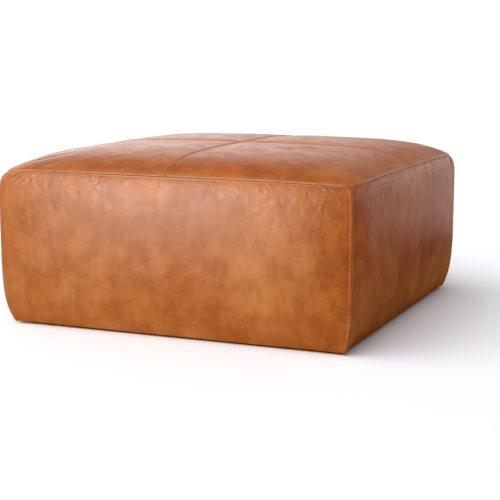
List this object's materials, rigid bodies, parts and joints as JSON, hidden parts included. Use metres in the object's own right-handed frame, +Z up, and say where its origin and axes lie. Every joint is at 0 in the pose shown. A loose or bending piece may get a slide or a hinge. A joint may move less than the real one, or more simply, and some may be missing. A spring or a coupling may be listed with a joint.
{
  "type": "square leather pouf",
  "caption": "Large square leather-covered floor pouf with a crowned top in quarter panels, straight sides and a hidden webbed frame, for sitting or resting feet.",
  "frame": {"origin": "on the floor, under the centre of the pouf", "axes": "+Z up; -Y is the front, one of four equal sides; +X is the right side seen from the front"},
  "size_m": [0.912, 0.912, 0.4282],
  "materials": {
    "leather": "semi-aniline tan hide, mottled, satin, with pale topstitching",
    "fibre": "white polyester fibre",
    "soft_foam": "open-cell polyurethane foam, soft grade",
    "firm_foam": "open-cell polyurethane foam, firm grade",
    "timber": "planed pine, unfinished",
    "hardboard": "hardboard, smooth side out",
    "webbing": "woven elastic upholstery webbing",
    "cambric": "non-woven black dust cloth",
    "nylon": "moulded black nylon",
    "thread": "pale tan bonded upholstery thread",
    "staple": "galvanised wire"
  },
  "bodies": {
    "root": {"side_panel_front": "leather", "side_panel_right": "leather", "side_panel_back": "leather", "side_panel_left": "leather", "top_panel_front_right": "leather", "top_panel_back_right": "leather", "top_panel_back_left": "leather", "top_panel_front_left": "leather", "fibre_wrap": "fibre", "seat_foam_crown": "soft_foam", "side_foam_front": "soft_foam", "side_foam_right": "soft_foam", "side_foam_back": "soft_foam", "side_foam_left": "soft_foam", "seat_foam_core": "firm_foam", "webbing_lengthwise_1": "webbing", "webbing_lengthwise_2": "webbing", "webbing_lengthwise_3": "webbing", "webbing_lengthwise_4": "webbing", "webbing_lengthwise_5": "webbing", "webbing_crosswise_1": "webbing", "webbing_crosswise_2": "webbing", "webbing_crosswise_3": "webbing", "webbing_crosswise_4": "webbing", "webbing_crosswise_5": "webbing", "bottom_rail_front": "timber", "bottom_rail_right": "timber", "bottom_rail_back": "timber", "bottom_rail_left": "timber", "top_rail_front": "timber", "top_rail_right": "timber", "top_rail_back": "timber", "top_rail_left": "timber", "middle_post_front": "timber", "middle_post_right": "timber", "middle_post_back": "timber", "middle_post_left": "timber", "corner_post_front_right": "timber", "corner_post_back_right": "timber", "corner_post_back_left": "timber", "corner_post_front_left": "timber", "corner_block_front_right": "timber", "corner_block_back_right": "timber", "corner_block_back_left": "timber", "corner_block_front_left": "timber", "stretcher_lower": "timber", "stretcher_upper": "timber", "side_board_front": "hardboard", "side_board_right": "hardboard", "side_board_back": "hardboard", "side_board_left": "hardboard", "dust_cover": "cambric", "glide_centre": "nylon", "glide_front_right": "nylon", "glide_back_right": "nylon", "glide_back_left": "nylon", "glide_front_left": "nylon"}
  },
  "joints": []
}
